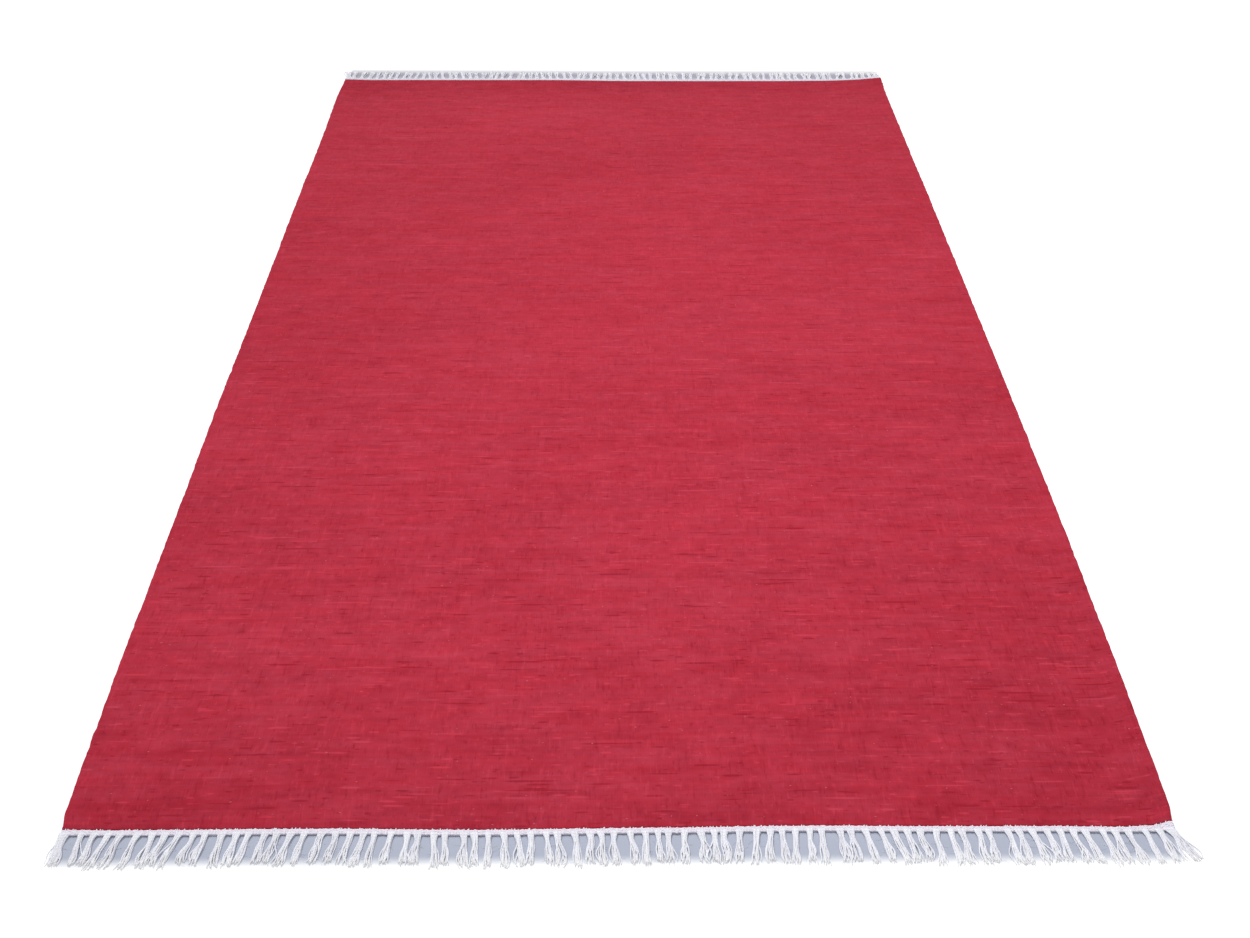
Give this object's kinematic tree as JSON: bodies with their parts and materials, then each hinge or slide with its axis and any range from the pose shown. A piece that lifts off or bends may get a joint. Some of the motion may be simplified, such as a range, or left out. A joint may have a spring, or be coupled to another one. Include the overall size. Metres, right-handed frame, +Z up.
{
  "type": "dhurrie rug",
  "caption": "Flat-woven rectangular rug with a plain red field and a white heading and a loose yarn fringe at each end, lying flat.",
  "frame": {"origin": "middle of the woven field on the floor, at the centre of the rug's underside", "axes": "+X along the weft towards the rug's right side, +Y along the warp from the near fringe to the far fringe, +Z up"},
  "size_m": [1.5261, 2.5758, 0.005],
  "materials": {
    "red_weft": "matt weft-faced flat weave in mottled red yarn",
    "white_warp": "matt white cotton yarn, twined in the heading and loose in the fringe"
  },
  "bodies": {
    "root": {"woven_field": "red_weft", "near_fringe": "white_warp", "far_fringe": "white_warp"}
  },
  "joints": []
}
